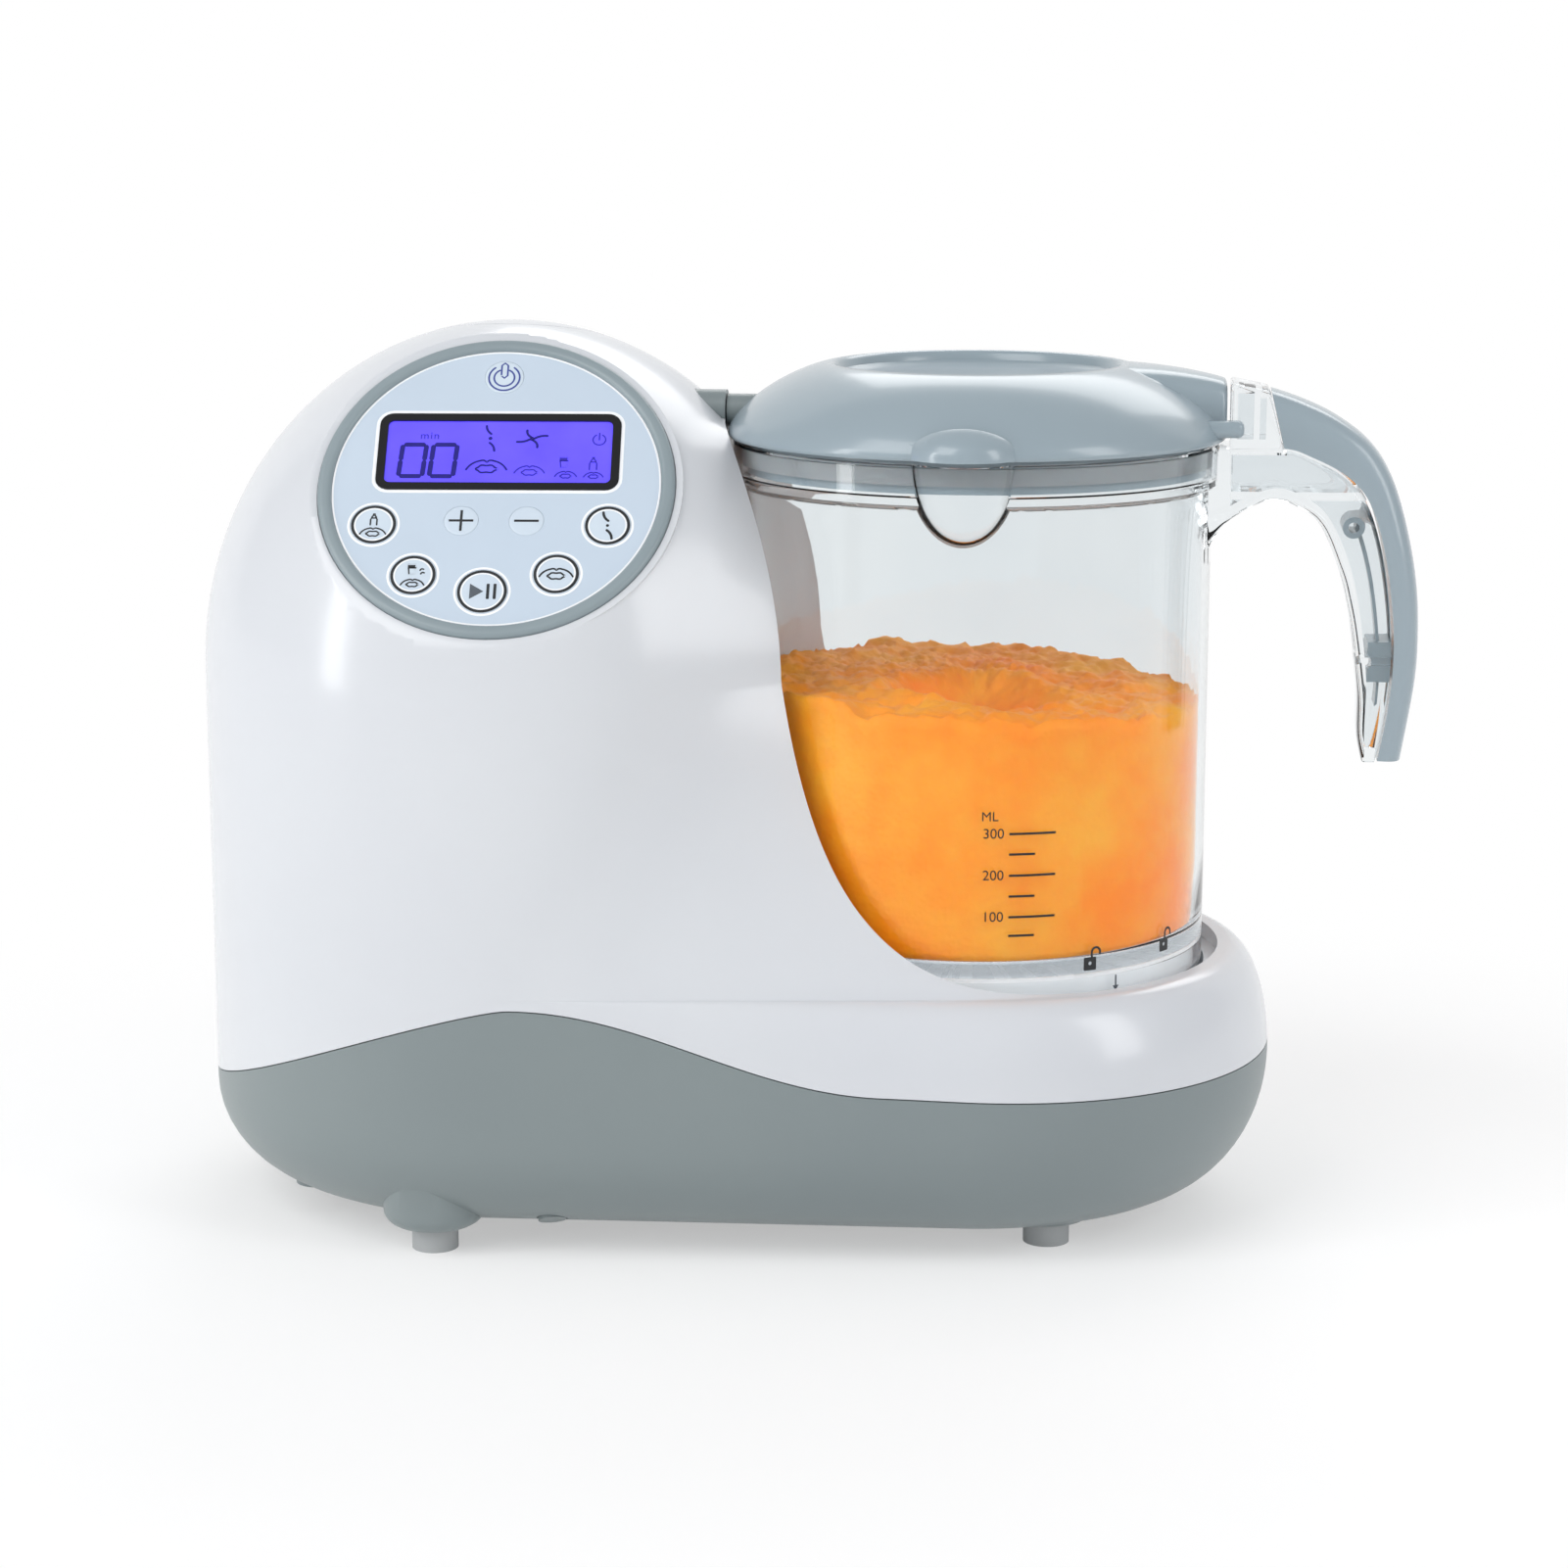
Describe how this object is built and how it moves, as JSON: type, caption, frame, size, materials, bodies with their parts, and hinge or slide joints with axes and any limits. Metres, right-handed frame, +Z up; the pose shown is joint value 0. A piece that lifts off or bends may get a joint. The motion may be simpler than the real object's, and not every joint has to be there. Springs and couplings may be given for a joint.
{
  "type": "baby food maker",
  "caption": "Countertop baby food maker: a water tower with a leaning round control panel beside a lidded clear blending jug on a common base.",
  "frame": {"origin": "centre of the bounding box, on the table under the foot pads", "axes": "+X from the water tower to the jug's handle, -Y towards the user and the control panel, +Z up"},
  "size_m": [0.2999, 0.154, 0.219],
  "materials": {
    "white_plastic": "gloss",
    "grey_plastic": "satin",
    "lid_plastic": "gloss",
    "clear_plastic": "clear",
    "tank_plastic": "frosted",
    "panel_blue": "gloss",
    "ring_grey": "satin",
    "screen_violet": "gloss",
    "black_plastic": "gloss",
    "dark_plastic": "matte",
    "frame_plastic": "matte",
    "key_plastic": "gloss",
    "foot_rubber": "matte",
    "silicone": "matte",
    "steel": "brushed",
    "aluminium": "satin",
    "bronze": "satin",
    "board_green": "satin",
    "hub_red": "gloss"
  },
  "bodies": {
    "root": {"upper_shell": "white_plastic", "lower_casing": "grey_plastic", "foot_pads": "foot_rubber", "casing_screws": "steel", "drain_plug": "grey_plastic", "cord_gland": "dark_plastic", "chassis": "frame_plastic", "water_tank": "tank_plastic", "feed_valve": "dark_plastic", "boiler": "aluminium", "heater_ring": "steel", "thermostat": "bronze", "steam_hose": "silicone", "steam_nozzle": "grey_plastic", "power_board": "board_green", "panel_bezel": "ring_grey", "panel_overlay": "panel_blue", "lcd_frame": "black_plastic", "lcd_lens": "screen_violet", "lcd_module": "dark_plastic", "key_mat": "silicone", "control_board": "board_green", "ribbon_cable": "frame_plastic", "tank_hinge_pin": "steel", "motor_can": "steel", "motor_bearings": "bronze", "motor_plate": "steel", "motor_dampers": "dark_plastic", "inner_screws": "steel", "well_seal": "dark_plastic", "jug_switch": "dark_plastic"},
    "rotor": {"motor_shaft": "steel", "armature": "bronze", "motor_fan": "dark_plastic", "drive_coupling": "dark_plastic"},
    "jug": {"jug": "clear_plastic", "handle_cover": "lid_plastic", "jug_collar": "white_plastic", "blade_bush": "bronze", "bush_nut": "steel"},
    "blades": {"driven_dog": "dark_plastic", "spindle": "steel", "blade_hub": "hub_red", "lower_blade": "steel", "upper_blade": "steel"},
    "lid": {"lid_shell": "lid_plastic", "lid_skirt": "lid_plastic", "lid_seal": "silicone", "lid_tab": "grey_plastic", "steam_inlet": "grey_plastic"},
    "tank_lid": {"tank_lid": "white_plastic"},
    "jug_plunger": {"jug_plunger": "white_plastic"},
    "power_key": {"power_key": "key_plastic"},
    "plus_key": {"plus_key": "key_plastic"},
    "minus_key": {"minus_key": "key_plastic"},
    "sterilise_key": {"sterilise_key": "key_plastic"},
    "blend_key": {"blend_key": "key_plastic"},
    "warm_key": {"warm_key": "key_plastic"},
    "steam_key": {"steam_key": "key_plastic"},
    "start_key": {"start_key": "key_plastic"}
  },
  "joints": [
    {"name": "jug_lift", "type": "slide", "parent": "root", "child": "jug", "axis": [0, 0, 1], "range_m": [0, 0.16]},
    {"name": "lid_lift", "type": "slide", "parent": "jug", "child": "lid", "axis": [0, 0, 1], "range_m": [0, 0.06]},
    {"name": "motor_spin", "type": "hinge", "parent": "root", "child": "rotor", "pos_m": [0.042, 0, 0.05], "axis": [0, 0, 1], "continuous": true},
    {"name": "blade_spin", "type": "hinge", "parent": "jug", "child": "blades", "pos_m": [0.042, 0, 0.07], "axis": [0, 0, 1], "continuous": true},
    {"name": "tank_lid_hinge", "type": "hinge", "parent": "root", "child": "tank_lid", "pos_m": [-0.073, 0.041, 0.2019], "axis": [-1, 0, 0], "range_deg": [0, 80]},
    {"name": "jug_sense", "type": "slide", "parent": "root", "child": "jug_plunger", "axis": [0, 0, -1], "range_m": [0, 0.0012], "stiffness_N_per_m": 300},
    {"name": "power_key_press", "type": "slide", "parent": "root", "child": "power_key", "axis": [-0.0526, 0.7529, -0.6561], "range_m": [0, 0.0006], "stiffness_N_per_m": 500},
    {"name": "plus_key_press", "type": "slide", "parent": "root", "child": "plus_key", "axis": [-0.0526, 0.7529, -0.6561], "range_m": [0, 0.0006], "stiffness_N_per_m": 500},
    {"name": "minus_key_press", "type": "slide", "parent": "root", "child": "minus_key", "axis": [-0.0526, 0.7529, -0.6561], "range_m": [0, 0.0006], "stiffness_N_per_m": 500},
    {"name": "sterilise_key_press", "type": "slide", "parent": "root", "child": "sterilise_key", "axis": [-0.0526, 0.7529, -0.6561], "range_m": [0, 0.0006], "stiffness_N_per_m": 500},
    {"name": "blend_key_press", "type": "slide", "parent": "root", "child": "blend_key", "axis": [-0.0526, 0.7529, -0.6561], "range_m": [0, 0.0006], "stiffness_N_per_m": 500},
    {"name": "warm_key_press", "type": "slide", "parent": "root", "child": "warm_key", "axis": [-0.0526, 0.7529, -0.6561], "range_m": [0, 0.0006], "stiffness_N_per_m": 500},
    {"name": "steam_key_press", "type": "slide", "parent": "root", "child": "steam_key", "axis": [-0.0526, 0.7529, -0.6561], "range_m": [0, 0.0006], "stiffness_N_per_m": 500},
    {"name": "start_key_press", "type": "slide", "parent": "root", "child": "start_key", "axis": [-0.0526, 0.7529, -0.6561], "range_m": [0, 0.0006], "stiffness_N_per_m": 500}
  ],
  "couplings": [
    {"joint": "blade_spin", "follows": "motor_spin", "ratio": 1}
  ]
}
